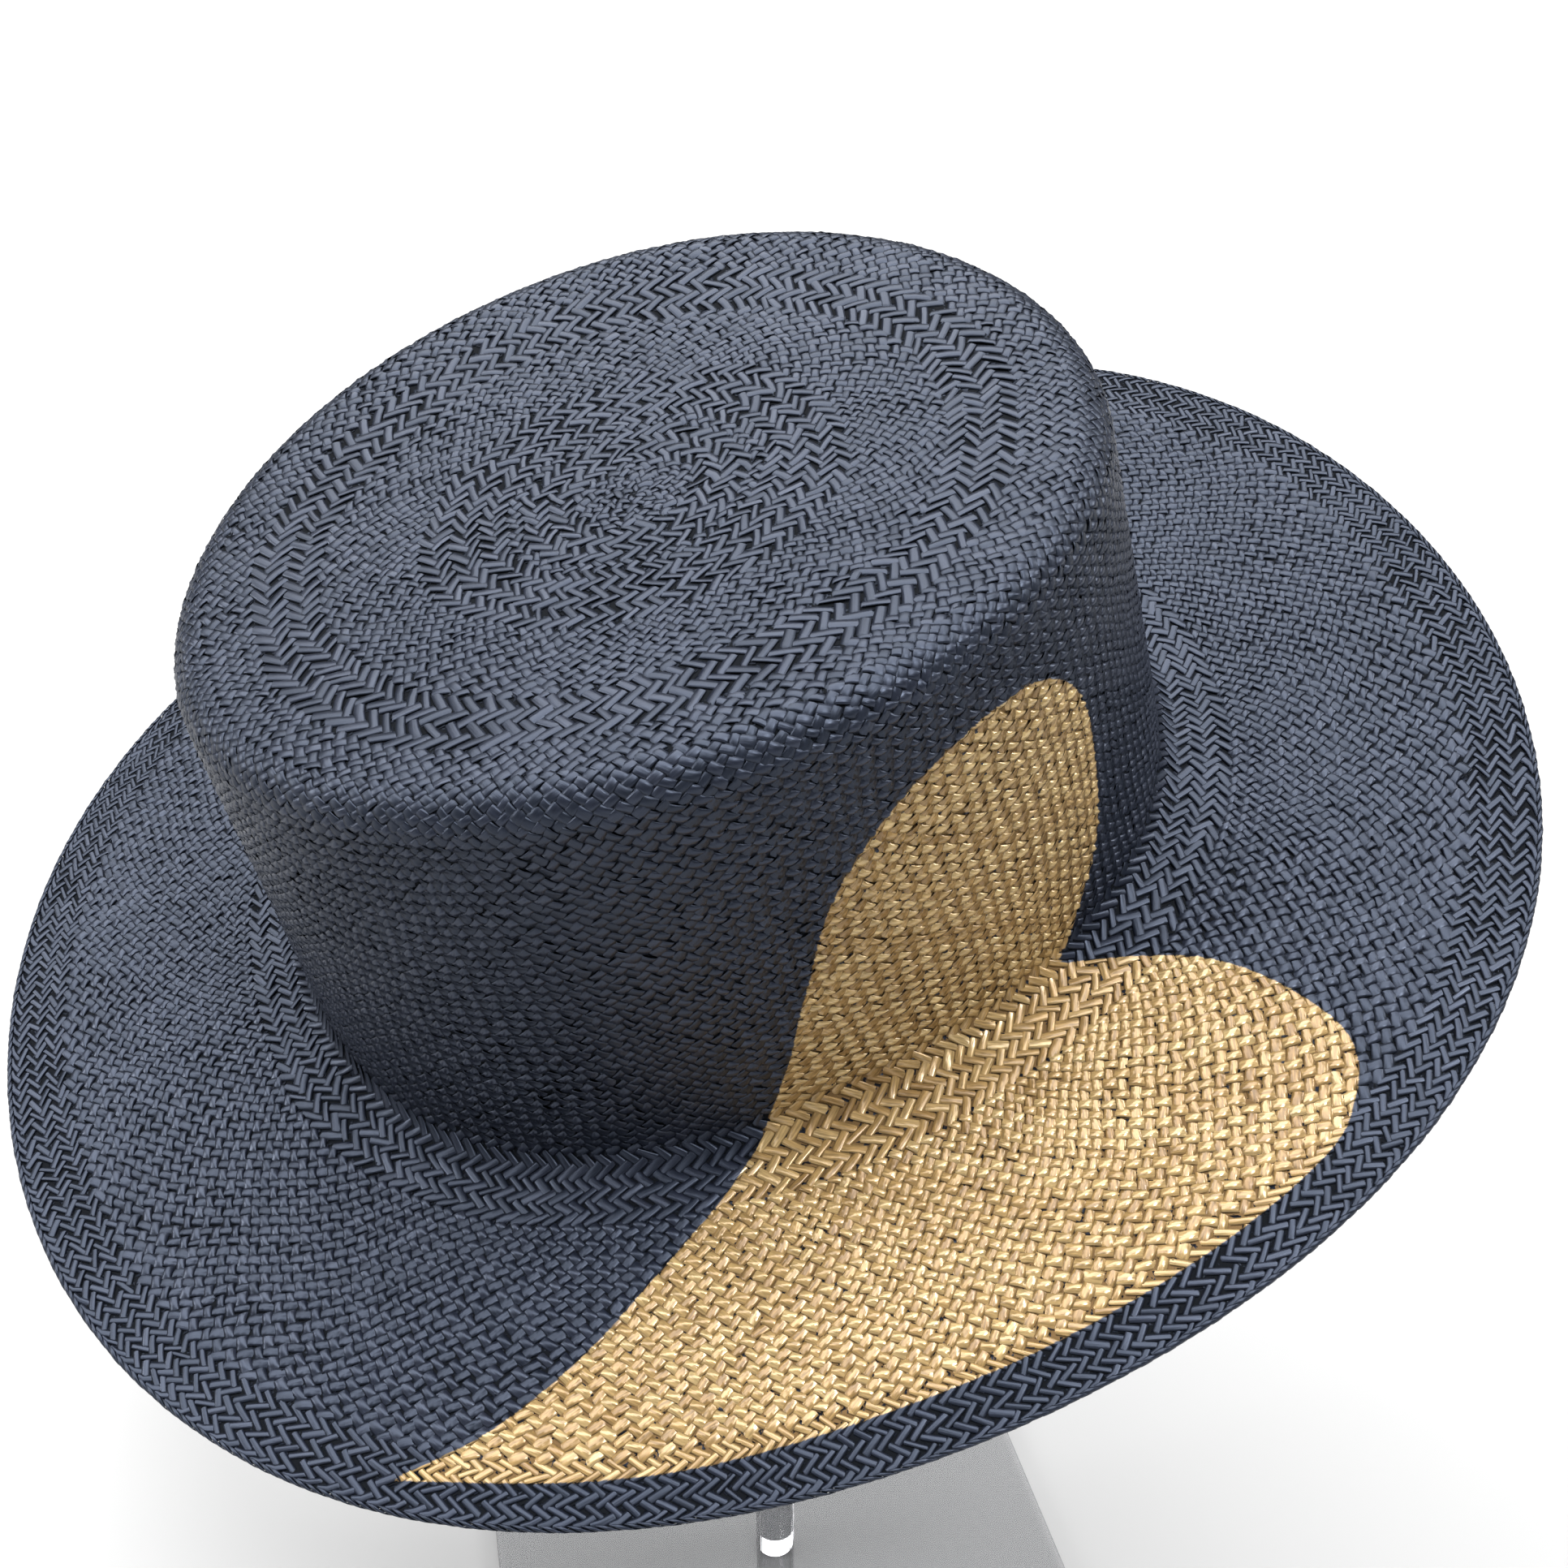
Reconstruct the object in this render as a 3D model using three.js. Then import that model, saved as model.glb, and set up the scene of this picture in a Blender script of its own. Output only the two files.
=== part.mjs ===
// A flat-topped straw boater hat, tilted on a clear display stand.
// Millimetres, +Z up. The origin is under the middle of the stand's base plate.
// The hat's own frame has its length along X, its width along Y and the brim's plane at Z = 0.
import * as THREE from 'three';

// Crown, outside sizes
const WALL = 2;
const BASE_HALF_LENGTH = 103;
const BASE_HALF_WIDTH = 84;
const TOP_HALF_LENGTH = 92.5;
const TOP_HALF_WIDTH = 74;
const TOP_SHIFT = 1.5;
const CROWN_HEIGHT = 96;
const TOP_DISH = 2;
const TOP_ROUND = 8;
const FOOT_ROUND = 5;

// Brim, outside sizes
const BRIM_HALF_LENGTH = 172.6;
const BRIM_HALF_WIDTH = 153.5;
const BRIM_SHIFT_X = 4.4;
const BRIM_SHIFT_Y = -2;
const BRIM_RISE_POWER = 1.6;

// How the hand-blocked straw strays from plain ovals: each row adds
// cos * cos(waves * turn) + sin * sin(waves * turn) millimetres round the hat.
const BRIM_LIFT = [
  { waves: 0, cos: 0.3, sin: 0 },
  { waves: 1, cos: 0.3, sin: -0.9 },
  { waves: 2, cos: 8.6, sin: 0.7 },
];
const BRIM_REACH = [
  { waves: 3, cos: -0.6, sin: -1.9 },
  { waves: 4, cos: -2.2, sin: 0 },
];
const TOP_REACH = [
  { waves: 3, cos: 0.2, sin: 0.6 },
  { waves: 4, cos: -0.2, sin: 0.1 },
];
const TOP_LIFT = [
  { waves: 1, cos: 0.3, sin: 1.2 },
  { waves: 2, cos: -2.8, sin: 1.3 },
];
const BASE_REACH = [
  { waves: 3, cos: 1, sin: 0 },
  { waves: 4, cos: -1.2, sin: 0 },
];

// How the hat sits: its axis leans from the vertical towards a compass angle, and it is turned about its axis.
const LEAN = THREE.MathUtils.degToRad(22.9);
const LEAN_TOWARDS = THREE.MathUtils.degToRad(-128.5);
const TURN = THREE.MathUtils.degToRad(6.1);
const HAT_BASE = new THREE.Vector3(-9.9, 7, 276.6);

// Stand
const PLATE_SIDE = 172;
const PLATE_THICK = 4;
const PLATE_CORNER = 3;
const PLATE_EDGE = 0.4;
const POST_RADIUS = 6;
const REST_RADIUS = 32;
const REST_THICK = 5;
const REST_EDGE = 0.5;
const GAP = 0.3;

// How finely the faces are cut
const HAT_SIDES = 80;
const TOP_STEPS = 4;
const ROUND_STEPS = 5;
const SIDE_STEPS = 5;
const FOOT_STEPS = 3;
const BRIM_STEPS = 7;
const POST_SIDES = 24;
const REST_SIDES = 40;
const CORNER_STEPS = 4;

function waviness(rows, turn) {
  return rows.reduce(
    (sum, row) => sum + row.cos * Math.cos(row.waves * turn) + row.sin * Math.sin(row.waves * turn),
    0,
  );
}

// A point of an oval outline at one turn, pushed out by reach.
function oval(turn, halfLength, halfWidth, reach) {
  return new THREE.Vector3(
    (halfLength + reach) * Math.cos(turn),
    (halfWidth + reach) * Math.sin(turn),
    0,
  );
}

// The oval that the crown's side reaches at the top, pushed out by reach.
function topOval(turn, reach) {
  return oval(turn, TOP_HALF_LENGTH, TOP_HALF_WIDTH, waviness(TOP_REACH, turn) + reach);
}

// The crown's side at one turn and height: a straight wall from the base's oval to the top's oval.
function sidePoint(turn, height, inset) {
  const base = oval(turn, BASE_HALF_LENGTH, BASE_HALF_WIDTH, waviness(BASE_REACH, turn) - inset);
  const top = topOval(turn, -inset);
  top.x += TOP_SHIFT;
  const topHeight = CROWN_HEIGHT + waviness(TOP_LIFT, turn) - TOP_ROUND;
  const point = base.lerp(top, height / topHeight);
  point.z = height;
  return point;
}

// The flat top, sunk a little in the middle. share runs from 0 at the middle to 1 where the edge's round starts.
function topPoint(turn, share, inset) {
  const point = topOval(turn, -TOP_ROUND).multiplyScalar(share);
  point.x += TOP_SHIFT;
  const spread = share * share;
  point.z = CROWN_HEIGHT - TOP_DISH * (1 - spread) + waviness(TOP_LIFT, turn) * spread - inset;
  return point;
}

// The round between top and side. share runs from 0 at the top to 1 at the side.
function roundPoint(turn, share, inset) {
  const angle = share * Math.PI / 2;
  const radius = TOP_ROUND - inset;
  const point = topOval(turn, radius * Math.sin(angle) - TOP_ROUND);
  point.x += TOP_SHIFT;
  point.z = CROWN_HEIGHT + waviness(TOP_LIFT, turn) - TOP_ROUND + radius * Math.cos(angle);
  return point;
}

// The side's wall, from the round down to the foot.
function wallPoint(turn, share, inset) {
  const topHeight = CROWN_HEIGHT + waviness(TOP_LIFT, turn) - TOP_ROUND;
  return sidePoint(turn, THREE.MathUtils.lerp(topHeight, FOOT_ROUND, share), inset);
}

// Where the foot's round ends and the brim starts.
function brimStart(turn) {
  const start = sidePoint(turn, FOOT_ROUND, 0);
  const outwards = oval(turn, 1, 1, 0);
  start.addScaledVector(outwards, FOOT_ROUND);
  start.z = 0;
  return start;
}

// The hollow round between the side and the brim. share runs from 0 at the side to 1 at the brim.
function footPoint(turn, share, inset) {
  const angle = share * Math.PI / 2;
  const radius = FOOT_ROUND + inset;
  const point = brimStart(turn);
  point.addScaledVector(oval(turn, 1, 1, 0), -radius * Math.cos(angle));
  point.z = FOOT_ROUND - radius * Math.sin(angle);
  return point;
}

// The brim, flat by the crown and waved at its edge.
function brimPoint(turn, share, inset) {
  const edge = oval(turn, BRIM_HALF_LENGTH, BRIM_HALF_WIDTH, waviness(BRIM_REACH, turn));
  edge.x += BRIM_SHIFT_X;
  edge.y += BRIM_SHIFT_Y;
  const point = brimStart(turn).lerp(edge, share);
  point.z = waviness(BRIM_LIFT, turn) * Math.pow(share, BRIM_RISE_POWER) - inset;
  return point;
}

// The bull-nosed edge of the brim, halfway down its thickness.
function brimNose(turn) {
  const nose = brimPoint(turn, 1, WALL / 2);
  return nose.addScaledVector(oval(turn, 1, 1, 0), WALL / 2);
}

// One face of the straw as rings of points, from the middle of the top to the brim's edge.
function faceRings(inset) {
  const stretches = [
    { shape: topPoint, steps: TOP_STEPS },
    { shape: roundPoint, steps: ROUND_STEPS },
    { shape: wallPoint, steps: SIDE_STEPS },
    { shape: footPoint, steps: FOOT_STEPS },
    { shape: brimPoint, steps: BRIM_STEPS },
  ];
  const rings = [];
  for (const { shape, steps } of stretches) {
    for (let step = 1; step <= steps; step += 1) {
      rings.push(ring((turn) => shape(turn, step / steps, inset)));
    }
  }
  return rings;
}

function ring(pointAt) {
  return Array.from({ length: HAT_SIDES }, (_, side) => pointAt(side * 2 * Math.PI / HAT_SIDES));
}

// A closed skin over a list of rings, with a point closing it at each end.
function closedSkin(firstPoint, rings, lastPoint) {
  const points = [firstPoint, ...rings.flat(), lastPoint];
  const last = points.length - 1;
  const at = (row, side) => 1 + row * HAT_SIDES + (side % HAT_SIDES);
  const faces = [];
  for (let side = 0; side < HAT_SIDES; side += 1) {
    faces.push(0, at(0, side), at(0, side + 1));
    for (let row = 0; row + 1 < rings.length; row += 1) {
      faces.push(at(row, side), at(row + 1, side), at(row + 1, side + 1));
      faces.push(at(row, side), at(row + 1, side + 1), at(row, side + 1));
    }
    faces.push(last, at(rings.length - 1, side + 1), at(rings.length - 1, side));
  }
  const geometry = new THREE.BufferGeometry();
  geometry.setAttribute('position', new THREE.Float32BufferAttribute(points.flatMap((p) => p.toArray()), 3));
  geometry.setIndex(faces);
  geometry.computeVertexNormals();
  return geometry;
}

// Crown and brim are woven in one piece, so they are one wall of straw.
function hat() {
  const outside = faceRings(0);
  const inside = faceRings(WALL).reverse();
  const geometry = closedSkin(
    topPoint(0, 0, 0),
    [...outside, ring(brimNose), ...inside],
    topPoint(0, 0, WALL),
  );
  const straw = new THREE.MeshStandardMaterial({ color: 0x4a5060, roughness: 0.6, metalness: 0 });
  const mesh = new THREE.Mesh(geometry, straw);
  mesh.name = 'hat';
  return mesh;
}

function clearAcrylic() {
  return new THREE.MeshStandardMaterial({
    color: 0xc9ccd2, roughness: 0.08, metalness: 0, transparent: true, opacity: 0.4,
  });
}

// The flat plate that the stand rests on, with a fine bevel on its top and bottom edges.
function basePlate() {
  const half = PLATE_SIDE / 2 - PLATE_EDGE;
  const inner = half - PLATE_CORNER;
  const outline = new THREE.Shape();
  outline.absarc(inner, inner, PLATE_CORNER, 0, Math.PI / 2);
  outline.absarc(-inner, inner, PLATE_CORNER, Math.PI / 2, Math.PI);
  outline.absarc(-inner, -inner, PLATE_CORNER, Math.PI, 1.5 * Math.PI);
  outline.absarc(inner, -inner, PLATE_CORNER, 1.5 * Math.PI, 2 * Math.PI);
  outline.closePath();
  const geometry = new THREE.ExtrudeGeometry(outline, {
    depth: PLATE_THICK - 2 * PLATE_EDGE,
    bevelEnabled: true,
    bevelThickness: PLATE_EDGE,
    bevelSize: PLATE_EDGE,
    bevelSegments: 1,
    curveSegments: CORNER_STEPS,
  });
  geometry.translate(0, 0, PLATE_EDGE);
  const mesh = new THREE.Mesh(geometry, clearAcrylic());
  mesh.name = 'base_plate';
  return mesh;
}

// The lean as a rotation: it carries the upright axis onto the hat's axis.
const tilt = new THREE.Quaternion().setFromAxisAngle(
  new THREE.Vector3(-Math.sin(LEAN_TOWARDS), Math.cos(LEAN_TOWARDS), 0),
  LEAN,
);
const hatAxis = new THREE.Vector3(0, 0, 1).applyQuaternion(tilt);
const hatTurn = new THREE.Quaternion().setFromAxisAngle(new THREE.Vector3(0, 0, 1), TURN);
const hatPose = tilt.clone().multiply(hatTurn);

// The height at which the upright line x, y meets the plane across the hat's axis, height above its base.
function heightOnPost(x, y, height) {
  const onPlane = HAT_BASE.clone().addScaledVector(hatAxis, height);
  return onPlane.z - ((x - onPlane.x) * hatAxis.x + (y - onPlane.y) * hatAxis.y) / hatAxis.z;
}

// The lowest point of the crown's hollow top over the rest, measured along the hat's axis from its base.
function lowestCeiling() {
  const inHat = hatPose.clone().invert();
  const middle = new THREE.Vector3(0, 0, heightOnPost(0, 0, CROWN_HEIGHT - WALL)).sub(HAT_BASE);
  middle.applyQuaternion(inHat);
  let lowest = Infinity;
  for (let side = 0; side < REST_SIDES; side += 1) {
    const around = side * 2 * Math.PI / REST_SIDES;
    for (const reach of [0, 0.5, 1]) {
      const x = (middle.x + REST_RADIUS * reach * Math.cos(around) - TOP_SHIFT) / (TOP_HALF_LENGTH - TOP_ROUND);
      const y = (middle.y + REST_RADIUS * reach * Math.sin(around)) / (TOP_HALF_WIDTH - TOP_ROUND);
      lowest = Math.min(lowest, topPoint(Math.atan2(y, x), Math.hypot(x, y), WALL).z);
    }
  }
  return lowest;
}

const REST_TOP = lowestCeiling() - GAP;

// The round disc inside the crown, lying across the hat's axis with its middle on the post.
function crownRest() {
  const profile = [
    new THREE.Vector2(0, -REST_THICK),
    new THREE.Vector2(REST_RADIUS - REST_EDGE, -REST_THICK),
    new THREE.Vector2(REST_RADIUS, REST_EDGE - REST_THICK),
    new THREE.Vector2(REST_RADIUS, -REST_EDGE),
    new THREE.Vector2(REST_RADIUS - REST_EDGE, 0),
    new THREE.Vector2(0, 0),
  ];
  const geometry = new THREE.LatheGeometry(profile, REST_SIDES);
  geometry.rotateX(Math.PI / 2);
  const mesh = new THREE.Mesh(geometry, clearAcrylic());
  mesh.name = 'crown_rest';
  mesh.quaternion.copy(tilt);
  mesh.position.set(0, 0, heightOnPost(0, 0, REST_TOP));
  return mesh;
}

// The post, cut off aslant under the disc.
function post() {
  const geometry = new THREE.CylinderGeometry(POST_RADIUS, POST_RADIUS, 1, POST_SIDES, 1);
  geometry.rotateX(Math.PI / 2);
  const place = geometry.getAttribute('position');
  for (let corner = 0; corner < place.count; corner += 1) {
    const x = place.getX(corner);
    const y = place.getY(corner);
    const upper = place.getZ(corner) > 0;
    const cut = heightOnPost(x, y, REST_TOP - REST_THICK - GAP);
    place.setZ(corner, upper ? cut : PLATE_THICK + GAP);
  }
  geometry.computeVertexNormals();
  const mesh = new THREE.Mesh(geometry, clearAcrylic());
  mesh.name = 'post';
  return mesh;
}

const boater = new THREE.Group();
const hatGroup = new THREE.Group();
hatGroup.position.copy(HAT_BASE);
hatGroup.quaternion.copy(hatPose);
hatGroup.add(hat());
boater.add(hatGroup, basePlate(), post(), crownRest());

export default boater;
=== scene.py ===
# A straw boater hat, hand woven in one piece from dyed straw with a painted gold leaf, on a clear stand.
# Shapes are worked out in millimetres in the hat's own frame, as in the CAD source, and placed in metres.
import math

import bpy
import numpy as np
from mathutils import Matrix, Vector


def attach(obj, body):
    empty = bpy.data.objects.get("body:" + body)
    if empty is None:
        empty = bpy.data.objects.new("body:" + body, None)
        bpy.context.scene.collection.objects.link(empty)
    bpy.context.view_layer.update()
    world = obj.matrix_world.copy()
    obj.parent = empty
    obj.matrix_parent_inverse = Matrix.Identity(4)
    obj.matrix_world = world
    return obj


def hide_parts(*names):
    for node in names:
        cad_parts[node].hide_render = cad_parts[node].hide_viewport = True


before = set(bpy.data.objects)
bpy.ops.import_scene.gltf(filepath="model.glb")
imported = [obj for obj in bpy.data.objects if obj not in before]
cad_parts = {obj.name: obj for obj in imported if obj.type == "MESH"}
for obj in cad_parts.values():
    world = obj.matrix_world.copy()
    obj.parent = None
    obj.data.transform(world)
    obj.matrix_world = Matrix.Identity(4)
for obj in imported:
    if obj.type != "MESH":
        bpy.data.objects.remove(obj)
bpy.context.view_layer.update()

MM = 0.001

# ---- woven crown top ----
# The flat top of the crown: dyed toquilla straw, two families of flat strands that cross aslant and
# spiral out from the middle. New strands join in rings, where the floats run over two rows
# and leave slits. One strand is about 2 mm wide, and the cloth 0.9 to 1.3 mm thick.

CROWN_HEIGHT = 96
BASE_HALF = (103, 84)
TOP_HALF = (92.5, 74)
TOP_SHIFT = 1.5
TOP_DISH = 2
TOP_ROUND = 8
FOOT_ROUND = 5
BRIM_HALF = (172.6, 153.5)
BRIM_SHIFT = (4.4, -2)
BRIM_RISE_POWER = 1.6

# How the hand-blocked straw strays from plain ovals: waves round the hat, with a cosine and a sine part.
BRIM_LIFT = [(0, 0.3, 0), (1, 0.3, -0.9), (2, 8.6, 0.7)]
BRIM_REACH = [(3, -0.6, -1.9), (4, -2.2, 0)]
TOP_REACH = [(3, 0.2, 0.6), (4, -0.2, 0.1)]
TOP_LIFT = [(1, 0.3, 1.2), (2, -2.8, 1.3)]
BASE_REACH = [(3, 1, 0), (4, -1.2, 0)]

LEAN = math.radians(22.9)
LEAN_TOWARDS = math.radians(-128.5)
TURN = math.radians(6.1)
HAT_BASE = Vector((-9.9, 7, 276.6))

# Mean lengths of the five stretches from the middle of the top to the brim's edge.
TOP_RUN = 76
ROUND_RUN = 12.6
WALL_RUN = 84
FOOT_RUN = 7.9
BRIM_RUN = 66
ROUND_START = TOP_RUN
WALL_START = ROUND_START + ROUND_RUN
FOOT_START = WALL_START + WALL_RUN
BRIM_START = FOOT_START + FOOT_RUN
BRIM_END = BRIM_START + BRIM_RUN
WALL_SPLIT = ROUND_START + 52
BRIM_SPLIT = BRIM_START + 10.9 + 21.4

lean_axis = Vector((-math.sin(LEAN_TOWARDS), math.cos(LEAN_TOWARDS), 0))
hat_turn = np.array(Matrix.Rotation(LEAN, 3, lean_axis) @ Matrix.Rotation(TURN, 3, "Z"))


def waves(rows, turn):
    return sum(cos * np.cos(count * turn) + sin * np.sin(count * turn) for count, cos, sin in rows)


def share_of(run, start, length):
    return np.clip((run - start) / length, 0, 1)


def straw_face(turn, run):
    """A point of the straw's outer face. run is the mean way from the middle of the top, over the edge and out."""
    turn, run = np.broadcast_arrays(turn, run)
    cos, sin = np.cos(turn), np.sin(turn)
    lift = waves(TOP_LIFT, turn)
    round_height = CROWN_HEIGHT + lift - TOP_ROUND
    top_reach = waves(TOP_REACH, turn)
    base_reach = waves(BASE_REACH, turn)

    share = share_of(run, 0, TOP_RUN)
    angle = share_of(run, ROUND_START, ROUND_RUN) * math.pi / 2
    reach = top_reach + TOP_ROUND * np.sin(angle) - TOP_ROUND
    top_x = (TOP_HALF[0] + reach) * cos * share + TOP_SHIFT
    top_y = (TOP_HALF[1] + reach) * sin * share
    top_z = CROWN_HEIGHT - TOP_DISH * (1 - share**2) + lift * share**2 - TOP_ROUND * (1 - np.cos(angle))

    def side(height):
        part = height / round_height
        x = (BASE_HALF[0] + base_reach) * cos
        y = (BASE_HALF[1] + base_reach) * sin
        x = x + ((TOP_HALF[0] + top_reach) * cos + TOP_SHIFT - x) * part
        y = y + ((TOP_HALF[1] + top_reach) * sin - y) * part
        return x, y

    height = round_height + (FOOT_ROUND - round_height) * share_of(run, WALL_START, WALL_RUN)
    side_x, side_y = side(height)

    start_x, start_y = side(FOOT_ROUND)
    start_x, start_y = start_x + FOOT_ROUND * cos, start_y + FOOT_ROUND * sin
    angle = share_of(run, FOOT_START, FOOT_RUN) * math.pi / 2
    foot_x = start_x - FOOT_ROUND * np.cos(angle) * cos
    foot_y = start_y - FOOT_ROUND * np.cos(angle) * sin
    foot_z = FOOT_ROUND * (1 - np.sin(angle))

    share = np.clip((run - BRIM_START) / BRIM_RUN, 0, 1.02)
    reach = waves(BRIM_REACH, turn)
    brim_x = start_x + ((BRIM_HALF[0] + reach) * cos + BRIM_SHIFT[0] - start_x) * share
    brim_y = start_y + ((BRIM_HALF[1] + reach) * sin + BRIM_SHIFT[1] - start_y) * share
    brim_z = waves(BRIM_LIFT, turn) * share**BRIM_RISE_POWER

    parts = [run < WALL_START, run < FOOT_START, run < BRIM_START]
    x = np.select(parts, [top_x, side_x, foot_x], brim_x)
    y = np.select(parts, [top_y, side_y, foot_y], brim_y)
    z = np.select(parts, [top_z, height, foot_z], brim_z)
    return np.stack([x, y, z], -1)


def unit(vectors):
    return vectors / np.maximum(np.linalg.norm(vectors, axis=-1, keepdims=True), 1e-9)


def face_frame(turn, run):
    """Point, the way round and the way out for one unit of turn and of run, and the outward normal."""
    turn_step, run_step = 1e-4, 0.02
    point = straw_face(turn, run)
    around = (straw_face(turn + turn_step, run) - straw_face(turn - turn_step, run)) / (2 * turn_step)
    out = (straw_face(turn, run + run_step) - straw_face(turn, run - run_step)) / (2 * run_step)
    return point, around, out, unit(np.cross(out, around))


def placed(points):
    """From the hat's frame in millimetres to the shared frame in metres."""
    return (points @ hat_turn.T + np.array(HAT_BASE)) * MM


def smooth_line(corners, steps=8):
    """A smooth line through a few corners."""
    p = np.array([corners[0], *corners, corners[-1]], float)
    t = np.linspace(0, 1, steps, endpoint=False)[:, None]
    line = []
    for a, b, c, d in zip(p, p[1:], p[2:], p[3:]):
        line.append(0.5 * (2 * b + (c - a) * t + (2 * a - 5 * b + 4 * c - d) * t**2 + (3 * b - a - 3 * c + d) * t**3))
    return np.vstack([*line, p[-1:]])


def inside_depth(points, outline):
    """How deep 2-D points lie inside a closed outline, in its own unit; negative outside."""
    depth = np.full(len(points), 1e9)
    odd = np.zeros(len(points), bool)
    for a, b in zip(outline, np.roll(outline, -1, 0)):
        edge = b - a
        t = np.clip((points - a) @ edge / max(edge @ edge, 1e-9), 0, 1)
        depth = np.minimum(depth, np.linalg.norm(points - a - t[:, None] * edge, axis=1))
        crosses = (a[1] > points[:, 1]) != (b[1] > points[:, 1])
        at = a[0] + (points[:, 1] - a[1]) * edge[0] / (edge[1] if edge[1] else 1e-9)
        odd ^= crosses & (points[:, 0] < at)
    return np.where(odd, depth, -depth)


# The painted leaf: on the crown as turn in degrees and height, on the brim as length and width.
LEAF_ON_CROWN = [
    (250, -8), (256.2, -1), (258.3, 1.6), (259.3, 4.5), (260.6, 8.9), (261.8, 13.7), (263.5, 20.3),
    (265.3, 29), (268.2, 41), (270.6, 51), (274, 60), (280, 69.5), (287, 75.2), (295, 77.4), (303, 74.8),
    (308.6, 67), (311.4, 56), (311.3, 42), (309.8, 28), (307.2, 18), (302.7, 8.6), (300.7, 4.1),
    (299, 2.1), (297.5, 1.2), (291, -8),
]
LEAF_OUTER = [
    (47.9, -75.3), (50.8, -75.6), (54.7, -76.9), (63.7, -80.5), (74.5, -86.5), (83, -96), (88.5, -107),
    (89.5, -115.5), (84.5, -124), (73, -131.8), (43, -138.6), (4, -141.2), (-40, -137.8), (-72, -130.4),
    (-107.5, -115.4),
]
LEAF_INNER = [
    (-107.5, -115.4), (-91, -114.9), (-78, -111.9), (-65, -107.3), (-54, -101.9), (-39.6, -94.7), (-32.8, -91),
    (-29.1, -88.5), (-26.2, -86.4), (-23.5, -84.5), (-18, -80),
]
LEAF_UNDER_CROWN = [(-10, -74), (44, -68)]
MM_PER_DEGREE = 1.64
leaf_on_crown = smooth_line(LEAF_ON_CROWN) * (MM_PER_DEGREE, 1)
leaf_on_brim = np.vstack([smooth_line(LEAF_OUTER), smooth_line(LEAF_INNER), LEAF_UNDER_CROWN])


def leaf_depth(points, run):
    """How far inside the painted leaf each point of the straw lies, in millimetres."""
    degrees = np.degrees(np.arctan2(points[:, 1] / BASE_HALF[1], points[:, 0] / BASE_HALF[0])) % 360
    on_crown = inside_depth(np.stack([degrees * MM_PER_DEGREE, points[:, 2]], -1), leaf_on_crown)
    on_brim = inside_depth(points[:, :2], leaf_on_brim)
    depth = np.where(run < FOOT_START + 0.6 * FOOT_RUN, on_crown, on_brim)
    return np.where(run < ROUND_START, -50, depth)


# Rings of weave from the middle out. start: run in mm; strands: crossings in one row; row: mm between rows;
# floats: rows that a strand stays on top for; cover: strand width as a share of the room it has.
WEAVE = [
    {"start": 0.9, "strands": 6, "row": 1.15, "floats": 1, "cover": 0.95},
    {"start": 3.2, "strands": 12, "row": 1.15, "floats": 1, "cover": 0.93},
    {"start": 5.5, "strands": 18, "row": 1.15, "floats": 1, "cover": 0.94},
    {"start": 10.1, "strands": 26, "row": 1.25, "floats": 2, "cover": 0.87},
    {"start": 15.1, "strands": 38, "row": 1.25, "floats": 2, "cover": 0.87},
    {"start": 20.1, "strands": 50, "row": 1.25, "floats": 1, "cover": 0.88},
    {"start": 22.6, "strands": 58, "row": 1.25, "floats": 2, "cover": 0.86},
    {"start": 32.6, "strands": 76, "row": 1.25, "floats": 2, "cover": 0.87},
    {"start": 37.6, "strands": 98, "row": 1.25, "floats": 1, "cover": 0.94},
    {"start": 55.1, "strands": 126, "row": 1.25, "floats": 2, "cover": 0.86},
    {"start": 67.6, "strands": 152, "row": 1.3, "floats": 1, "cover": 0.95},
    {"start": ROUND_START, "strands": 172, "row": 1.3, "floats": 1, "cover": 0.95},
    {"start": WALL_SPLIT, "strands": 172, "row": 1.3, "floats": 1, "cover": 0.95},
    {"start": FOOT_START + 2.6, "strands": 206, "row": 1.2, "floats": 2, "cover": 0.93},
    {"start": BRIM_START + 9.6, "strands": 238, "row": 1.34, "floats": 1, "cover": 0.95},
    {"start": BRIM_SPLIT, "strands": 238, "row": 1.34, "floats": 1, "cover": 0.95},
    {"start": BRIM_START + 53.7, "strands": 340, "row": 1.02, "floats": 2, "cover": 0.81},
]

# Heights in mm, from the straw's outer face.
CLOTH_MIDDLE = -0.62
FLOAT_LIFT = 0.42
STRAND_BULGE = 0.16
STRAND_ROLL = 0.07
WALL_RIB = 0.25
BRIM_RIB = 0.12
# Painted light and shade: how much lighter a strand is coloured for each mm that its row stands out, and darker where
# it sinks.
RIB_PAINTED_LIGHT = 1.4

# The stations along one float: where they lie on its half length, how high as shares of FLOAT_LIFT,
# and how steeply the straw's face falls off there.
END_SHARE = 0.88
OUTER_STATIONS = {
    "along": [-END_SHARE, -0.5, 0, 0.5, END_SHARE],
    "lift": [-0.8, 0.76, 1, 0.76, -0.8],
    "slope": [3.4, 1.1, 0, -1.1, -3.4],
}
INNER_STATIONS = {"along": [-0.8, 0, 0.8], "lift": [0.05, 1, 0.05], "slope": [3, 0, -3]}


def stray(turn, run):
    """How far the rows wander out and in, as hand weaving does, less at the middle and none at the edge."""
    wander = 0.5 * np.sin(5 * turn + run / 9) + 0.3 * np.sin(11 * turn - run / 6 + 1)
    wander = wander + 0.14 * np.sin(23 * turn + run / 3.5)
    return wander * np.clip((BRIM_END - run) / 6, 0, 1) * np.clip(run / 5, 0, 1)


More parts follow.
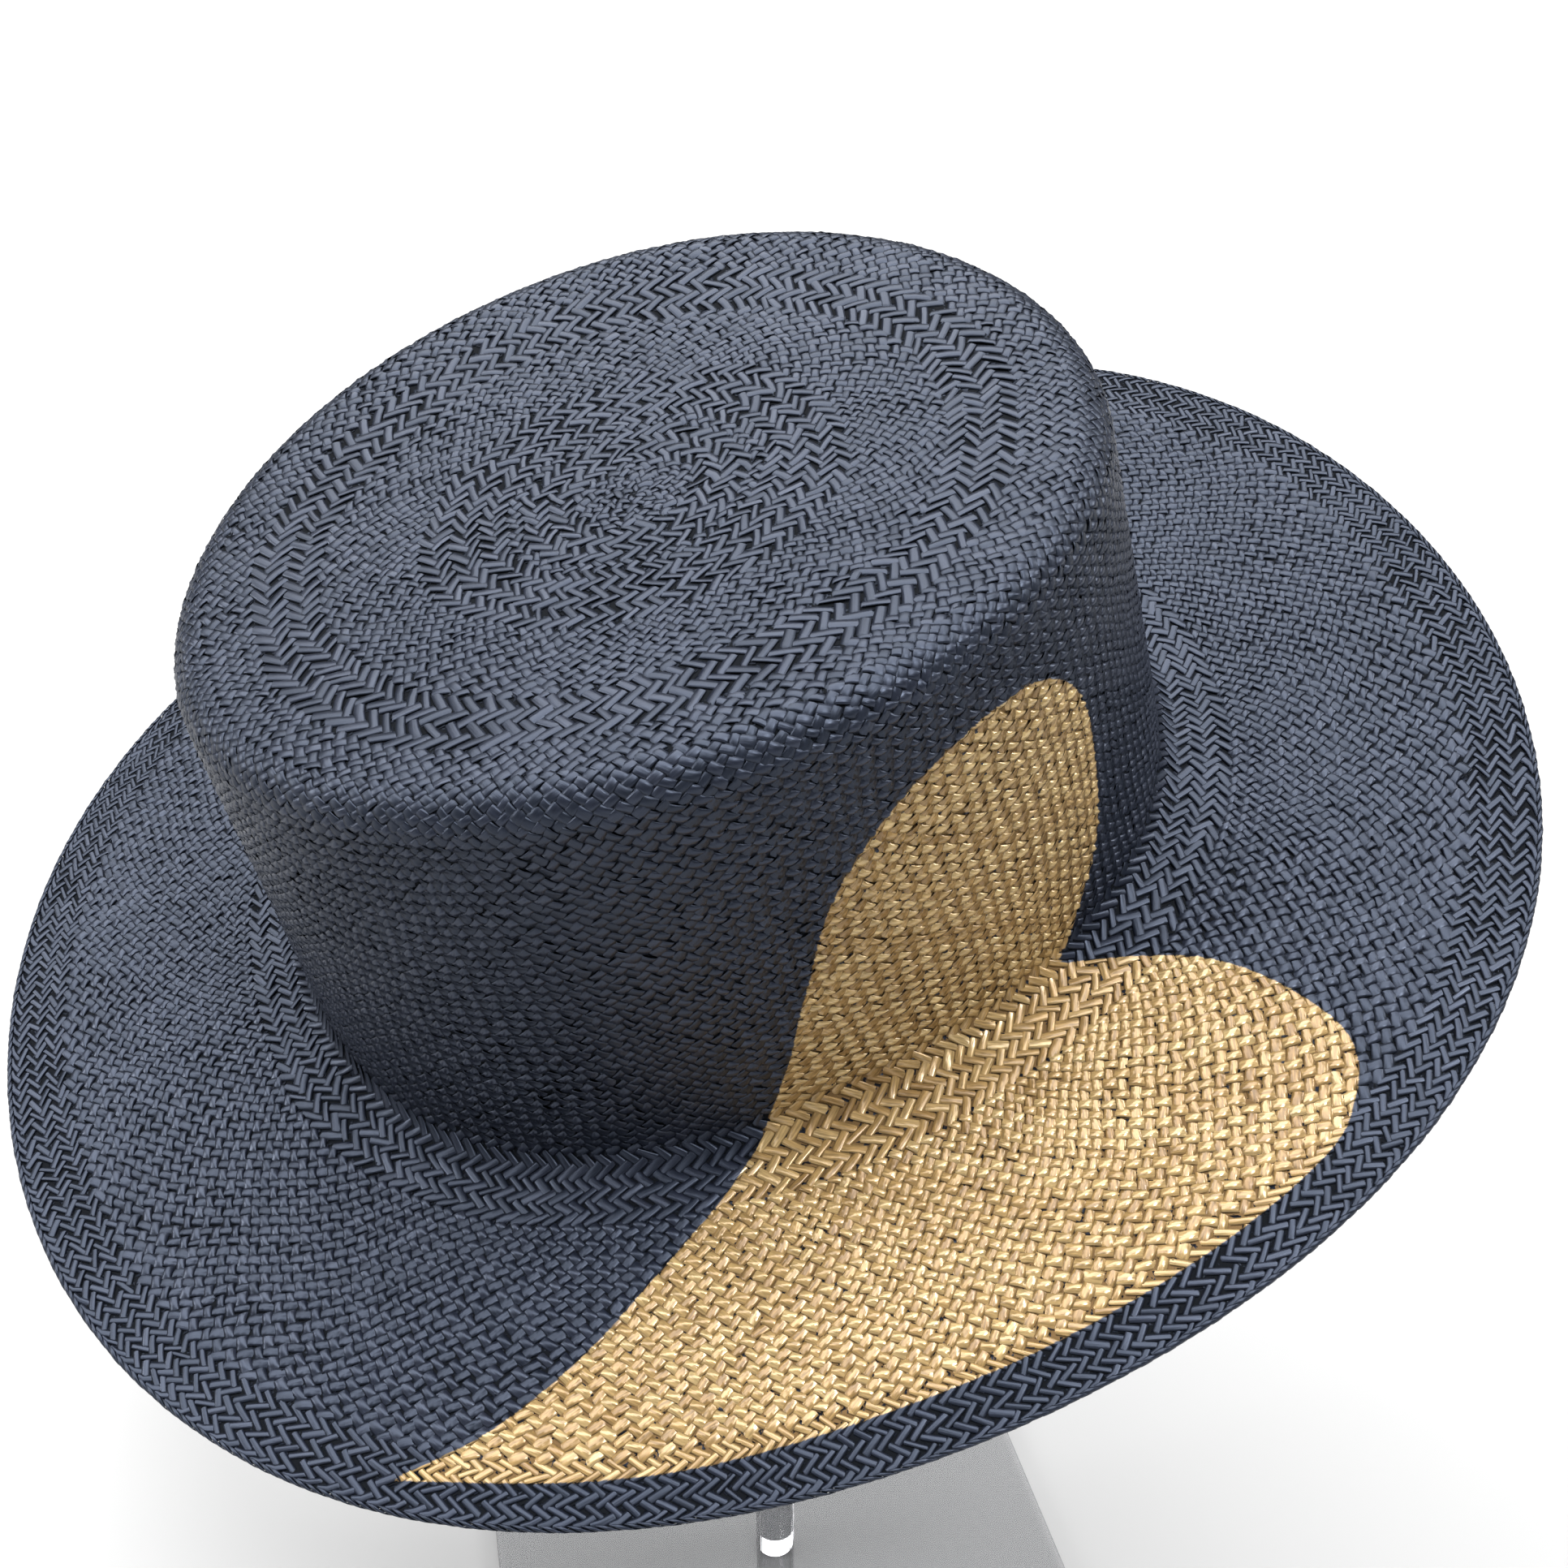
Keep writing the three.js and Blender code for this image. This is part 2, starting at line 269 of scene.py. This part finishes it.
def rib_height(turn, run):
    """How far the rows of one strand family stand out above the other's, most on the crown's wall."""
    on_wall = np.clip((run - ROUND_START - 3) / 10, 0, 1) * np.clip((FOOT_START + 4 - run) / 6, 0, 1)
    on_brim = np.clip((run - BRIM_START - 4) / 6, 0, 1) * np.clip((BRIM_END - 12 - run) / 4, 0, 1)
    return WALL_RIB * on_wall * np.clip(3 * np.cos(turn + 0.35), -1, 1) + BRIM_RIB * on_brim


def zone_floats(zone, end, outer):
    """The strands that show on one face of a ring of weave, as rows of numbers for each float."""
    count, over = zone["strands"], zone["floats"]
    groups = max(2, 2 * round((end - zone["start"]) / zone["row"] / over / 2))
    pitch = (end - zone["start"]) / groups / over
    look = np.random.default_rng(int(zone["start"] * 10))
    tone = look.normal(0.5, 0.16, (2, count)).clip(0, 1)
    wide = look.normal(1, 0.09, (2, count)).clip(0.78, 1.12)
    drift = look.uniform(0, 2 * math.pi, (2, count))
    rows = []
    for group in range(groups):
        family = (group + (0 if outer else 1)) % 2
        slant = 1 - 2 * family
        middle = group * over + (over - 1) / 2
        strand = np.arange(count)
        turn = 2 * math.pi * (strand + slant * middle / 2) / count
        turn = turn + 0.07 * 2 * math.pi / count * np.sin(middle * 0.5 + drift[family])
        run = np.full(count, zone["start"] + (middle + 0.5) * pitch)
        # The tone column carries painted light and shade: floats on the raised rows are made lighter, those on the
        # sunk rows darker.
        rows.append(np.stack([
            turn, run, np.full(count, slant), np.full(count, over), np.full(count, math.pi / count),
            np.full(count, pitch), zone["cover"] * wide[family] * look.normal(1, 0.07, count).clip(0.8, 1.12),
            tone[family] + look.normal(0, 0.1, count) + RIB_PAINTED_LIGHT * slant * rib_height(turn, run),
            *look.normal(0, 1, (4, count)),
        ], -1))
    return np.vstack(rows)


def strip_faces(steps):
    """The faces of a strip of straw that is three points wide."""
    i = np.arange(steps * 3).reshape(steps, 3)
    return np.stack([i[:-1, :-1], i[1:, :-1], i[1:, 1:], i[:-1, 1:]], -1).reshape(-1, 4)


def strand_patches(floats, outer):
    """Each float as a small arched patch of flat straw that dives under its neighbours at both ends."""
    turn, run, slant, over, turn_pitch, run_pitch, cover, tone, skew, high, roll, slide = floats.T[:, :, None]
    side, stations = (1, OUTER_STATIONS) if outer else (-1, INNER_STATIONS)
    along = np.array(stations["along"]) + 0 * over
    lift, slope = np.array(stations["lift"]), np.array(stations["slope"])
    at_end = abs(along) > 0.7
    # Where the stations lie on the hat, with a small skew and slide for each float.
    t = along + np.sign(along) * (over - 1) / 2
    at_turn = turn + slant * t * turn_pitch * (1 + 0.1 * skew) + 0.08 * slide * turn_pitch
    at_run = run + t * run_pitch * (1 - 0.1 * skew)
    at_run = np.minimum(at_run + stray(at_turn, at_run), BRIM_END - 1)
    at_turn = at_turn + 0.012 * np.sin(7 * at_turn + at_run / 15) + 0.005 * np.sin(17 * at_turn - at_run / 11)
    point, around, out, normal = face_frame(at_turn, at_run)
    # The strand's way, width and height at each station.
    a = np.linalg.norm(around, axis=-1) * turn_pitch
    b = np.linalg.norm(out, axis=-1) * run_pitch
    way = unit(unit(around) * (slant * a)[..., None] + unit(out) * b[..., None])
    across = np.cross(normal, way)
    half = cover * a * b / np.hypot(a, b) * np.where(at_end, 0.94, 1)
    size = np.clip(a * b / np.hypot(a, b), 0.4, 1)
    height = CLOTH_MIDDLE + side * (FLOAT_LIFT + 0.04 * high) * lift * size
    # Three points across, arched and a little rolled, and raised where the row stands out.
    v = np.array([-1, 0, 1])
    up = height[..., None] - side * STRAND_BULGE * size[..., None] * v**2
    up = up + STRAND_ROLL * (roll * size)[..., None] * v
    out = unit(out)
    beyond = (t * run_pitch)[..., None] + half[..., None] * v * np.sum(across * out, -1)[..., None]
    crest = rib_height(turn, run)[..., None] * slant[..., None] * side
    phase = math.pi * beyond / run_pitch[..., None]
    up = up + crest * np.cos(phase)
    points = point[..., None, :] + across[..., None, :] * (half[..., None] * v)[..., None]
    points = points + normal[..., None, :] * up[..., None]
    # Which way the straw faces there, for smooth shading.
    tip = (FLOAT_LIFT * size * slope / np.hypot(a, b) / np.where(at_end, 1, over**2))[..., None, None]
    edge = (2 * STRAND_BULGE * size / half)[..., None] * v - side * STRAND_ROLL * (roll * size / half)[..., None]
    facing = side * normal[..., None, :] - way[..., None, :] * tip + across[..., None, :] * edge[..., None]
    facing = facing + out[..., None, :] * (side * crest * math.pi / run_pitch[..., None] * np.sin(phase))[..., None]
    count, steps = along.shape
    quads = strip_faces(steps)
    if not outer:
        quads = quads[:, ::-1]
    shape = (count, steps, 3)
    grain = np.stack([
        np.broadcast_to((t * np.hypot(a, b))[..., None], shape),
        np.broadcast_to(v, shape),
        np.broadcast_to((np.arange(count) % 997)[:, None, None], shape),
    ], -1)
    return {
        "points": points.reshape(count, -1, 3),
        "facing": unit(facing).reshape(count, -1, 3),
        "quads": quads,
        "grain": grain.reshape(count, -1, 3),
        "tone": np.broadcast_to(tone[..., None], shape).reshape(count, -1),
        "tip": np.broadcast_to(abs(along)[..., None] / END_SHARE, shape).reshape(count, -1),
        "run": np.broadcast_to(at_run[..., None], shape).reshape(count, -1),
        "bare": np.full((count, steps * 3), not outer),
    }


def mesh_object(name, points, faces, smooth=True):
    mesh = bpy.data.meshes.new(name)
    faces = np.asarray(faces)
    mesh.vertices.add(len(points))
    mesh.vertices.foreach_set("co", np.asarray(points, np.float32).ravel())
    mesh.loops.add(faces.size)
    mesh.loops.foreach_set("vertex_index", faces.astype(np.int32).ravel())
    mesh.polygons.add(len(faces))
    mesh.polygons.foreach_set("loop_start", np.arange(0, faces.size, faces.shape[1], dtype=np.int32))
    mesh.polygons.foreach_set("use_smooth", np.full(len(faces), smooth))
    mesh.update()
    made = bpy.data.objects.new(name, mesh)
    bpy.context.scene.collection.objects.link(made)
    return made


def point_values(made, name, kind, values):
    field = made.data.attributes.new(name, kind, "POINT")
    field.data.foreach_set("vector" if kind == "FLOAT_VECTOR" else "value", np.asarray(values, np.float32).ravel())


CELL_MARGIN = 0.12
CELL_SIZE = 0.76


def woven_piece(name, layers, material):
    """One mesh from layers of strand patches. Each patch has a cell of its own in the unwrapping."""
    def joined(key):
        return np.concatenate([layer[key].reshape(-1, *layer[key].shape[2:]) for layer in layers])

    cells_in_row = math.ceil(math.sqrt(sum(len(layer["points"]) for layer in layers)))
    faces, place, first, base = [], [], 0, 0
    for layer in layers:
        count, corners = layer["points"].shape[:2]
        number = np.arange(count)
        faces.append(((base + corners * number)[:, None, None] + layer["quads"]).reshape(-1, 4))
        local = np.stack([np.repeat(np.linspace(0, 1, corners // 3), 3), np.tile([0, 0.5, 1], corners // 3)], -1)
        cell = np.stack([(first + number) % cells_in_row, (first + number) // cells_in_row], -1)
        place.append((cell[:, None] + CELL_MARGIN + CELL_SIZE * local).reshape(-1, 2) / cells_in_row)
        first += count
        base += count * corners
    points, faces = joined("points"), np.vstack(faces)
    made = mesh_object(name, placed(points), faces)
    made.data.normals_split_custom_set_from_vertices((joined("facing") @ hat_turn.T).tolist())
    point_values(made, "grain", "FLOAT_VECTOR", joined("grain"))
    point_values(made, "tone", "FLOAT", joined("tone"))
    point_values(made, "tip", "FLOAT", joined("tip"))
    depth = leaf_depth(points, joined("run"))
    point_values(made, "leaf", "FLOAT", np.where(joined("bare"), -abs(depth), depth))
    uv = made.data.uv_layers.new(name="OFBake")
    uv.data.foreach_set("uv", np.vstack(place)[faces.ravel()].astype(np.float32).ravel())
    made.data.materials.append(material)
    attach(made, "root")
    return made


def weave_between(low, high):
    """Outer and inner strand patches of all rings that start from low up to high."""
    outer, inner = [], []
    for zone, after in zip(WEAVE, [*WEAVE[1:], {"start": BRIM_END - 0.4}]):
        if low - 1e-6 <= zone["start"] < high - 1e-6:
            outer.append(zone_floats(zone, after["start"], True))
            inner.append(zone_floats(zone, after["start"], False))
    return [strand_patches(np.vstack(outer), True), strand_patches(np.vstack(inner), False)]


class Nodes:
    """A material's nodes, made and joined in one line each."""

    def __init__(self, name):
        self.material = bpy.data.materials.new(name)
        self.material.use_nodes = True
        self.tree = self.material.node_tree
        self.shader = self.tree.nodes["Principled BSDF"]

    def add(self, kind, settings=None, **inputs):
        node = self.tree.nodes.new(kind)
        for key, value in (settings or {}).items():
            setattr(node, key, value)
        for key, value in inputs.items():
            self.feed(node, key.replace("_", " "), value)
        return node

    def feed(self, node, key, value):
        socket = node.inputs[int(key)] if key.isdigit() else node.inputs[key]
        if isinstance(value, bpy.types.NodeSocket):
            self.tree.links.new(value, socket)
        else:
            socket.default_value = value

    def math(self, operation, a, b=0.0, clamp=False):
        node = self.add("ShaderNodeMath", {"operation": operation, "use_clamp": clamp})
        self.feed(node, "0", a)
        self.feed(node, "1", b)
        return node.outputs[0]

    def mix(self, share, a, b, blend="MIX"):
        node = self.add("ShaderNodeMix", {"data_type": "RGBA", "blend_type": blend})
        self.feed(node, "0", share)
        self.feed(node, "6", a)
        self.feed(node, "7", b)
        return node.outputs[2]

    def blend(self, share, a, b):
        rest = self.math("SUBTRACT", 1.0, share)
        return self.math("ADD", self.math("MULTIPLY", share, b), self.math("MULTIPLY", rest, a))

    def ramp(self, share, stops):
        node = self.add("ShaderNodeValToRGB")
        self.feed(node, "Fac", share)
        while len(node.color_ramp.elements) < len(stops):
            node.color_ramp.elements.new(0.5)
        for element, (position, colour) in zip(node.color_ramp.elements, stops):
            element.position = position
            element.color = (*colour, 1)
        return node.outputs["Color"]

    def value(self, name):
        return self.add("ShaderNodeAttribute", {"attribute_name": name})


# Colours from a strand's darkest to its lightest tone, and the painted shade at the strands' edges and tips.
NAVY_TONES = [
    (0.0, (0.003, 0.004, 0.008)), (0.35, (0.006, 0.008, 0.014)),
    (0.6, (0.009, 0.011, 0.019)), (1.0, (0.020, 0.023, 0.034)),
]
GOLD_TONES = [(0.0, (0.26, 0.158, 0.056)), (0.5, (0.38, 0.25, 0.102)), (1.0, (0.50, 0.362, 0.17))]
FIBRE_TONES = [(0.3, (0.62, 0.62, 0.62)), (0.7, (1.25, 1.25, 1.25))]
EDGE_SHADE_NAVY = (0.002, 0.003, 0.006, 1)
EDGE_SHADE_GOLD = (0.18, 0.11, 0.045, 1)
COOL_SHEEN = (0.64, 0.75, 1, 1)
NAVY_ROUGHNESS = 0.47
GOLD_ROUGHNESS = 0.27
# The grain along a strand, across it and from one strand to the next.
FIBRE_SCALE = (0.35, 2.6, 3.7)
BUMP_DEPTH = 0.00026


def dyed_straw():
    """Navy dyed straw with fine fibres along each strand, and gold paint inside the leaf. Painted shade darkens each
    strand's edges and tips, and the tone also carries the rows' painted light and shade.
    """
    n = Nodes("dyed_straw")
    grain = n.value("grain").outputs["Vector"]
    tone = n.value("tone").outputs["Fac"]
    stretched = n.add("ShaderNodeVectorMath", {"operation": "MULTIPLY"})
    n.feed(stretched, "0", grain)
    n.feed(stretched, "1", FIBRE_SCALE)
    fibre = n.add("ShaderNodeTexNoise", Vector=stretched.outputs[0], Scale=1.0, Detail=2.0).outputs[0]
    leaf = n.value("leaf").outputs["Fac"]
    ragged = n.math("ADD", leaf, n.math("MULTIPLY", n.math("SUBTRACT", fibre, 0.5), 0.5))
    painted = n.math("MULTIPLY", n.math("ADD", ragged, 0.12), 4.0, clamp=True)
    # The tone ramps also show the rows' painted light and shade.
    colour = n.mix(painted, n.ramp(tone, NAVY_TONES), n.ramp(tone, GOLD_TONES))
    colour = n.mix(1.0, colour, n.ramp(fibre, FIBRE_TONES), "MULTIPLY")
    parts = n.add("ShaderNodeSeparateXYZ", Vector=grain)
    # Painted shade: the colour darkens towards each strand's edges and its tips, where it dives under its neighbours.
    side = n.math("ABSOLUTE", parts.outputs[1])
    edge = n.math("POWER", side, 20.0)
    end = n.math("MULTIPLY", n.math("SUBTRACT", n.value("tip").outputs["Fac"], 0.6), 6.0, clamp=True)
    edge_shade = n.math("MAXIMUM", edge, end)
    edge_shade_colour = n.mix(painted, EDGE_SHADE_NAVY, EDGE_SHADE_GOLD)
    colour = n.mix(n.math("MULTIPLY", edge_shade, n.blend(painted, 0.75, 0.25)), colour, edge_shade_colour)
    n.feed(n.shader, "Base Color", colour)
    n.feed(n.shader, "Metallic", n.math("MULTIPLY", painted, 0.22))
    rougher = n.math("SUBTRACT", n.math("MULTIPLY", edge_shade, 0.15), n.math("MULTIPLY", tone, 0.14))
    n.feed(n.shader, "Roughness", n.math("ADD", n.blend(painted, NAVY_ROUGHNESS, GOLD_ROUGHNESS), rougher))
    n.feed(n.shader, "Specular Tint", COOL_SHEEN)
    n.feed(n.shader, "IOR", 1.54)
    rounded = n.math("SUBTRACT", n.math("MULTIPLY", fibre, 0.17), n.math("POWER", side, 5.0))
    bump = n.add("ShaderNodeBump", Strength=1.0, Distance=BUMP_DEPTH, Height=rounded)
    n.feed(n.shader, "Normal", bump.outputs[0])
    return n.material


straw = dyed_straw()
crown_top = woven_piece("weave_crown_top", weave_between(0, ROUND_START), straw)
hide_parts("hat")

# ---- woven crown side ----
# The upright wall of the crown, plain woven in the same straw without a seam, made here as an upper
# part with the rounded edge and a lower part with the foot.

woven_piece("weave_crown_upper", weave_between(ROUND_START, WALL_SPLIT), straw)
woven_piece("weave_crown_lower", weave_between(WALL_SPLIT, FOOT_START), straw)

# ---- woven brim ----
# The brim: a herringbone ring where it leaves the crown, then plain weave, and a herringbone border
# that ends the strands. Made here as an inner and an outer part.

woven_piece("weave_brim_inner", weave_between(FOOT_START, BRIM_SPLIT), straw)
woven_piece("weave_brim_outer", weave_between(BRIM_SPLIT, BRIM_END), straw)

# ---- bound brim edge ----
# At the edge the strand ends are turned over and woven back, which leaves a close row of slanting
# turns round a 1.4 mm thick edge.

EDGE_TURNS = 430
EDGE_RADIUS = 0.75
EDGE_BULGE = 0.12
# How far one turn wraps round the edge, and how many turns it moves on meanwhile.
EDGE_WRAP = math.radians(250)
EDGE_SLANT = 2.4
MEAN_BRIM_RADIUS = 162


def edge_layer():
    """The turns round the brim's edge, each a strip of flat straw."""
    look = np.random.default_rng(9)
    steps = 8
    number = np.arange(EDGE_TURNS)[:, None]
    t = np.linspace(0, 1, steps)[None]
    angle = EDGE_WRAP / 2 - EDGE_WRAP * t
    turn = 2 * math.pi * (number + EDGE_SLANT * (t - 0.5)) / EDGE_TURNS
    point, _, out, normal = face_frame(turn, np.full(turn.shape, BRIM_END - EDGE_RADIUS))
    out = unit(out)
    across = unit(np.cross(normal, out))
    centre = point + normal * CLOTH_MIDDLE
    radial = out * np.cos(angle)[..., None] + normal * np.sin(angle)[..., None]
    v = np.array([-1, 0, 1])
    half = 2 * math.pi * MEAN_BRIM_RADIUS / EDGE_TURNS * 0.5 * look.uniform(0.8, 1.05, (EDGE_TURNS, 1))
    radius = EDGE_RADIUS - 0.06 + look.uniform(-0.08, 0.06, (EDGE_TURNS, 1)) + 0 * t
    points = centre[..., None, :] + radial[..., None, :] * (radius[..., None] - EDGE_BULGE * v**2)[..., None]
    points = points + across[..., None, :] * (half[..., None] * v)[..., None]
    facing = radial[..., None, :] + across[..., None, :] * (0.35 * v)[:, None]
    shape = (EDGE_TURNS, steps, 3)
    grain = np.stack([
        np.broadcast_to((t * 3)[..., None], shape), np.broadcast_to(v, shape),
        np.broadcast_to(number[..., None], shape),
    ], -1)
    return {
        "points": points.reshape(EDGE_TURNS, -1, 3), "facing": unit(facing).reshape(EDGE_TURNS, -1, 3),
        "quads": strip_faces(steps), "grain": grain.reshape(EDGE_TURNS, -1, 3),
        "tip": np.zeros((EDGE_TURNS, steps * 3)),
        "tone": np.repeat(look.normal(0.45, 0.15, (EDGE_TURNS, 1)), steps * 3, 1),
        "run": np.full((EDGE_TURNS, steps * 3), BRIM_END),
        "bare": np.zeros((EDGE_TURNS, steps * 3), bool),
    }


woven_piece("weave_edge", [edge_layer()], straw)

# ---- shade between the strands ----
# What shows through the slits is painted shade: a plain dark sheet in the middle of the cloth, in the colour of
# the strands that run underneath in their own deep shade.


# Painted shade: the sheet's colours, near-black navy and, under the leaf, a dark brown-gold.
SHADE_NAVY = (0.002, 0.003, 0.005, 1)
SHADE_GOLD = (0.15, 0.09, 0.038, 1)


def shade_sheet():
    turns = 160
    runs = np.concatenate([
        np.arange(0.5, ROUND_START, 4), np.arange(ROUND_START, WALL_START, 1.6),
        np.arange(WALL_START, FOOT_START, 6), np.arange(FOOT_START, BRIM_START, 1.3),
        np.arange(BRIM_START, BRIM_END - 1, 4), [BRIM_END - 0.9],
    ])[:, None]
    turn = np.linspace(0, 2 * math.pi, turns, endpoint=False)[None] + 0 * runs
    run = runs + stray(turn, runs) * np.clip((BRIM_END - runs) / 4, 0, 1) * np.clip(runs / 5, 0, 1)
    point, _, _, normal = face_frame(turn, run)
    points = (point + normal * CLOTH_MIDDLE).reshape(-1, 3)
    i = np.arange(len(runs) * turns).reshape(len(runs), turns)
    j = np.roll(i, -1, 1)
    faces = np.stack([i[:-1], i[1:], j[1:], j[:-1]], -1).reshape(-1, 4)
    made = mesh_object("weave_shade", placed(points), faces)
    point_values(made, "leaf", "FLOAT", leaf_depth(points, run.ravel()))
    n = Nodes("shaded_straw")
    painted = n.math("MULTIPLY", n.math("ADD", n.value("leaf").outputs["Fac"], 0.1), 4.0, clamp=True)
    n.feed(n.shader, "Base Color", n.mix(painted, SHADE_NAVY, SHADE_GOLD))
    n.feed(n.shader, "Roughness", 0.8)
    n.feed(n.shader, "Specular IOR Level", 0.1)
    made.data.materials.append(n.material)
    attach(made, "root")


shade_sheet()

# ---- clear stand ----
# A polished clear acrylic plate, a 12 mm rod glued on it and a round disc under the crown, cut and
# flame-polished. They are the CAD solids themselves, with the look of clear acrylic.


def clear_acrylic(name, colour, alpha):
    n = Nodes(name)
    n.feed(n.shader, "Base Color", colour)
    n.feed(n.shader, "Alpha", alpha)
    n.feed(n.shader, "Transmission Weight", 1.0 if alpha == 1 else 0.0)
    n.feed(n.shader, "IOR", 1.49)
    haze = n.add("ShaderNodeTexNoise", Scale=60.0, Detail=2.0).outputs[0]
    n.feed(n.shader, "Roughness", n.blend(haze, 0.02, 0.08))
    return n.material


# Painted shade: the plate's dark grey colour at half alpha makes the clear plate read grey, as in the shade under the
# hat.
plate_acrylic = clear_acrylic("clear_plate", (0.20, 0.203, 0.21, 1), 0.5)
rod_acrylic = clear_acrylic("clear_rod", (0.52, 0.525, 0.54, 1), 1.0)
for name, acrylic in (("base_plate", plate_acrylic), ("post", rod_acrylic), ("crown_rest", rod_acrylic)):
    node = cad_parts[name]
    node.data.materials.clear()
    node.data.materials.append(acrylic)

# ---- floor, light and camera ----
# A pale floor in a bright studio with a wide soft ceiling light, a lamp in front and one at each side,
# and the camera at the photo's place.

FLOOR_HALF = 60
FLOOR_HEIGHT = -0.0004
FLOOR_GREY = (0.41, 0.41, 0.41, 1)
STUDIO_LIGHT = 0.14
floor_corners = [(x * FLOOR_HALF, y * FLOOR_HALF, FLOOR_HEIGHT) for x, y in ((-1, -1), (1, -1), (1, 1), (-1, 1))]
floor = mesh_object("floor", floor_corners, [(0, 1, 2, 3)], smooth=False)
paper = Nodes("paper")
paper.feed(paper.shader, "Base Color", FLOOR_GREY)
paper.feed(paper.shader, "Roughness", 0.9)
floor.data.materials.append(paper.material)

world = bpy.data.worlds.new("studio")
world.use_nodes = True
backdrop = world.node_tree.nodes["Background"]
backdrop.inputs["Color"].default_value = (1, 1, 1, 1)
backdrop.inputs["Strength"].default_value = STUDIO_LIGHT
bpy.context.scene.world = world
bpy.context.scene.view_settings.view_transform = "Standard"


def soft_sun(name, energy, angle, towards):
    """A lamp that shines from the way given, softer with a wider angle in degrees."""
    data = bpy.data.lights.new(name, "SUN")
    data.energy = energy
    data.angle = math.radians(angle)
    light = bpy.data.objects.new(name, data)
    light.rotation_mode = "QUATERNION"
    light.rotation_quaternion = Vector(towards).to_track_quat("Z", "Y")
    bpy.context.scene.collection.objects.link(light)


soft_sun("ceiling_light", 5.5, 68, (-0.08, 0.22, 0.97))
soft_sun("lamp_front", 1.7, 14, (0.16, -0.46, 0.87))
soft_sun("lamp_left", 1.7, 26, (-0.88, 0.16, 0.45))
soft_sun("lamp_right", 1.4, 22, (0.78, -0.06, 0.62))

# The camera as it was solved from the outlines in the photo.
CAMERA_PLACE = Vector((-0.0705, -0.2998, 0.4661))
CAMERA_AIM = Vector((0.20457, 0.83534, -0.51025))
CAMERA_RIGHT = Vector((0.97130, -0.23787, 0))
camera_data = bpy.data.cameras.new("camera")
camera_data.sensor_width = 36
camera_data.lens = 36.149
camera_data.clip_end = 50
camera = bpy.data.objects.new("camera", camera_data)
bpy.context.scene.collection.objects.link(camera)
aim, right = CAMERA_AIM.normalized(), CAMERA_RIGHT.normalized()
camera_turn = Matrix((right, right.cross(aim), -aim)).transposed()
camera.matrix_world = Matrix.Translation(CAMERA_PLACE) @ camera_turn.to_4x4()
bpy.context.scene.camera = camera
